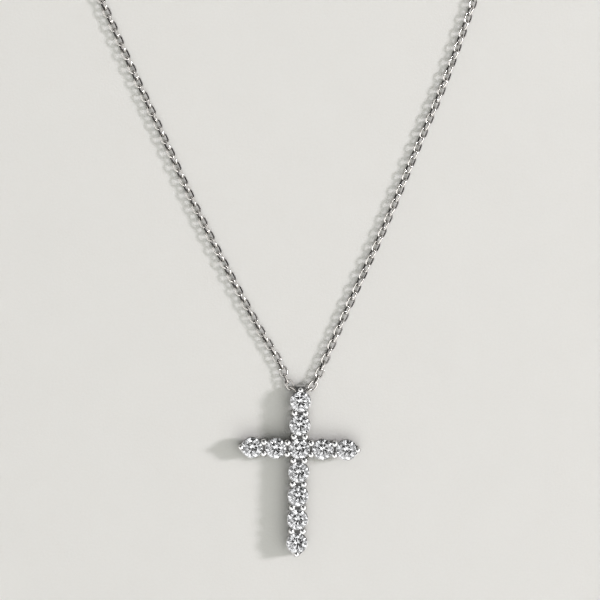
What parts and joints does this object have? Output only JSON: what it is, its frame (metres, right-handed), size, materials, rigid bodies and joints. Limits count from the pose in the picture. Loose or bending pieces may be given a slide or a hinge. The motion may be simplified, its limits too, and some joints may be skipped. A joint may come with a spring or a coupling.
{
  "type": "cross pendant",
  "caption": "Cross pendant of round stones in shared prongs on a flat pierced back, with a hidden bail on a whole loop of fine cable chain and a spring ring clasp.",
  "frame": {"origin": "middle of the crossing, on the flat back of the cross", "axes": "+X along the right arm, +Y up the upright towards the bail, +Z out of the stones' faces"},
  "size_m": [0.0987, 0.2192, 0.0031],
  "materials": {
    "setting_metal": "polished white gold",
    "stone": "polished colourless cut stone",
    "chain_metal": "polished white gold"
  },
  "bodies": {
    "root": {"cross_setting": "setting_metal", "stone_centre": "stone", "stone_top_1": "stone", "stone_top_2": "stone", "stone_bottom_1": "stone", "stone_bottom_2": "stone", "stone_bottom_3": "stone", "stone_bottom_4": "stone", "stone_left_1": "stone", "stone_left_2": "stone", "stone_right_1": "stone", "stone_right_2": "stone", "chain_front": "chain_metal", "chain_back": "chain_metal", "clasp": "chain_metal"}
  },
  "joints": []
}
